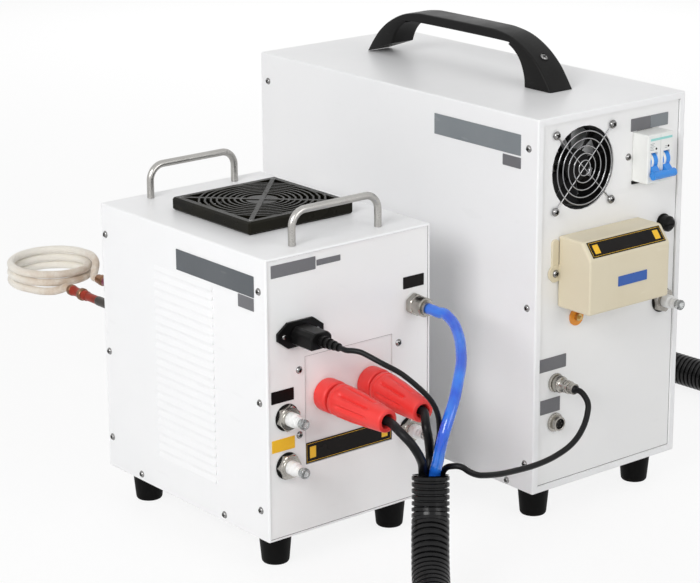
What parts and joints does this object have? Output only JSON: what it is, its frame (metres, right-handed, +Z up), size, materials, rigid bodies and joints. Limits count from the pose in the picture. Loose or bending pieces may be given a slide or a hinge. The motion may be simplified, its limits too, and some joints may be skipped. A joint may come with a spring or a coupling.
{
  "type": "induction heater",
  "caption": "Split induction heater: a white power unit and a louvred work head with a water-cooled sleeved coil, joined by cables, a blue tube and a corrugated conduit.",
  "frame": {"origin": "on the floor under the middle of the box that holds both cabinets and the coil, without the cords", "axes": "+Z up, +Y from the connector panels towards the coil and the control panel, +X from the work head to the power unit"},
  "size_m": [0.8116, 1.0979, 0.5105],
  "materials": {
    "white_paint": "fine satin powder coat",
    "black_plastic": "satin moulded",
    "black_rubber": "matt moulded",
    "chrome": "bright",
    "steel": "satin",
    "white_plastic": "smooth",
    "blue_plastic": "smooth",
    "beige_plastic": "satin moulded",
    "orange_plastic": "smooth",
    "red_rubber": "satin moulded",
    "green_plastic": "smooth",
    "copper": "bare and lacquered copper",
    "cream_sleeve": "braided glass-fibre sleeve",
    "blue_tube": "clear glossy tube"
  },
  "bodies": {
    "cabinets": {"unit_case": "white_paint", "unit_connector_panel": "white_paint", "unit_control_panel": "white_paint", "unit_fan_frame": "black_plastic", "unit_fan_guard": "chrome", "breaker_body": "white_plastic", "terminal_cover": "beige_plastic", "supply_terminals": "black_plastic", "earth_terminal": "orange_plastic", "fuse_collar": "black_plastic", "remote_socket": "chrome", "spare_socket": "chrome", "unit_water_fitting": "white_plastic", "carry_handle": "black_plastic", "unit_foot_1": "black_rubber", "unit_foot_2": "black_rubber", "unit_foot_3": "black_rubber", "unit_foot_4": "black_rubber", "conduit_gland": "black_plastic", "head_case": "white_paint", "head_connector_panel": "white_paint", "head_output_panel": "white_paint", "output_board": "white_plastic", "head_fan_frame": "black_plastic", "filter_grille": "black_plastic", "rod_handle_near": "steel", "rod_handle_far": "steel", "head_foot_1": "black_rubber", "head_foot_2": "black_rubber", "head_foot_3": "black_rubber", "head_foot_4": "black_rubber", "mains_inlet": "black_plastic", "output_collar_left": "red_rubber", "output_collar_right": "red_rubber", "head_water_fitting_low": "white_plastic", "head_water_fitting_high": "white_plastic", "head_return_fitting": "white_plastic", "cooling_fitting": "chrome", "output_block": "black_plastic", "coil_lead_left": "copper", "coil_lead_right": "copper", "work_coil": "cream_sleeve", "remote_plug": "chrome", "inlet_plug": "black_rubber", "power_cable_left": "black_rubber", "power_cable_right": "black_rubber", "inlet_cord": "black_rubber", "cooling_tube": "blue_tube", "remote_cord": "black_rubber", "conduit": "black_plastic"},
    "unit_fan_rotor": {"unit_fan_rotor": "black_plastic"},
    "head_fan_rotor": {"head_fan_rotor": "black_plastic"},
    "breaker_lever": {"breaker_lever": "blue_plastic"},
    "fuse_cap": {"fuse_cap": "black_plastic"},
    "power_knob": {"power_knob": "black_plastic"},
    "time_knob": {"time_knob": "black_plastic"},
    "start_button": {"start_button": "green_plastic"},
    "stop_button": {"stop_button": "red_rubber"},
    "power_plug_left": {"power_plug_left": "red_rubber"},
    "power_plug_right": {"power_plug_right": "red_rubber"}
  },
  "joints": [
    {"name": "unit_fan_spin", "type": "hinge", "parent": "cabinets", "child": "unit_fan_rotor", "pos_m": [0.10925, -0.31505, 0.392], "axis": [0, -1, 0], "continuous": true},
    {"name": "head_fan_spin", "type": "hinge", "parent": "cabinets", "child": "head_fan_rotor", "pos_m": [-0.14705, -0.10165, 0.327], "axis": [0, 0, 1], "continuous": true},
    {"name": "breaker_throw", "type": "hinge", "parent": "cabinets", "child": "breaker_lever", "pos_m": [0.20325, -0.34155, 0.389], "axis": [-1, 0, 0], "range_deg": [0, 80]},
    {"name": "fuse_cap_turn", "type": "hinge", "parent": "cabinets", "child": "fuse_cap", "pos_m": [0.23375, -0.33505, 0.31], "axis": [0, -1, 0], "range_deg": [0, 60]},
    {"name": "power_knob_turn", "type": "hinge", "parent": "cabinets", "child": "power_knob", "pos_m": [0.11131, 0.14995, 0.282], "axis": [0, 1, 0], "range_deg": [-140, 140]},
    {"name": "time_knob_turn", "type": "hinge", "parent": "cabinets", "child": "time_knob", "pos_m": [0.19069, 0.14995, 0.282], "axis": [0, 1, 0], "range_deg": [-140, 140]},
    {"name": "start_press", "type": "slide", "parent": "cabinets", "child": "start_button", "axis": [0, -1, 0], "range_m": [0, 0.0025], "stiffness_N_per_m": 300},
    {"name": "stop_press", "type": "slide", "parent": "cabinets", "child": "stop_button", "axis": [0, -1, 0], "range_m": [0, 0.0025], "stiffness_N_per_m": 300},
    {"name": "power_plug_left_twist", "type": "hinge", "parent": "cabinets", "child": "power_plug_left", "pos_m": [-0.18075, -0.27275, 0.18318], "axis": [0, -0.9994, -0.0353], "range_deg": [0, 90]},
    {"name": "power_plug_right_twist", "type": "hinge", "parent": "cabinets", "child": "power_plug_right", "pos_m": [-0.12272, -0.27271, 0.18315], "axis": [-0.1345, -0.99, -0.043], "range_deg": [0, 90]}
  ]
}
